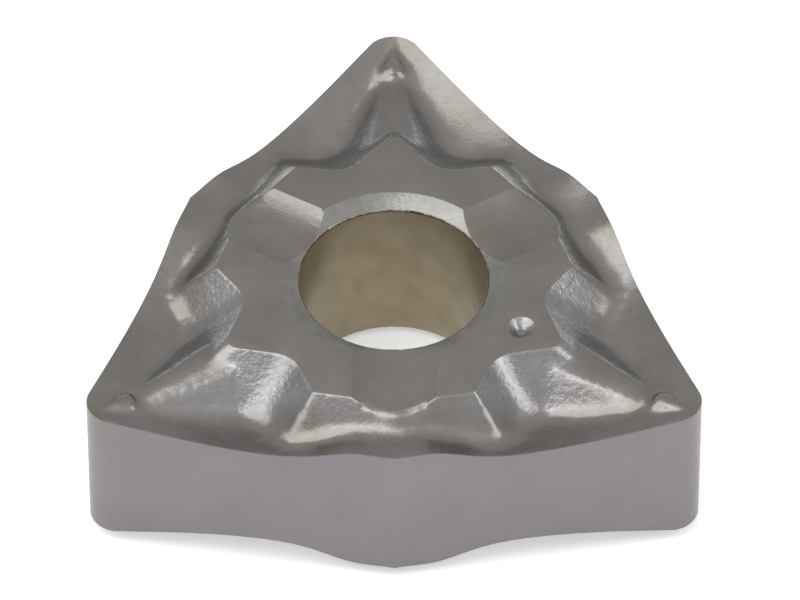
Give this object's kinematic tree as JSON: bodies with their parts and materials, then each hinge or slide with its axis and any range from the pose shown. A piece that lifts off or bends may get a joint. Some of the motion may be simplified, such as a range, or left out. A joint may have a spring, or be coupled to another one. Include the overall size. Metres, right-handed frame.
{
  "type": "carbide turning insert",
  "caption": "Double-sided trigon cutting insert with a central bore, wavy cutting edges and a pressed chipbreaker on both faces.",
  "frame": {"origin": "centre of the bore at mid-thickness", "axes": "+Z along the bore, out of one seat face; +Y towards one cutting corner"},
  "size_m": [0.0166, 0.0158, 0.0052],
  "materials": {
    "carbide": "coated sintered carbide, satin"
  },
  "bodies": {
    "root": {"insert": "carbide"}
  },
  "joints": []
}
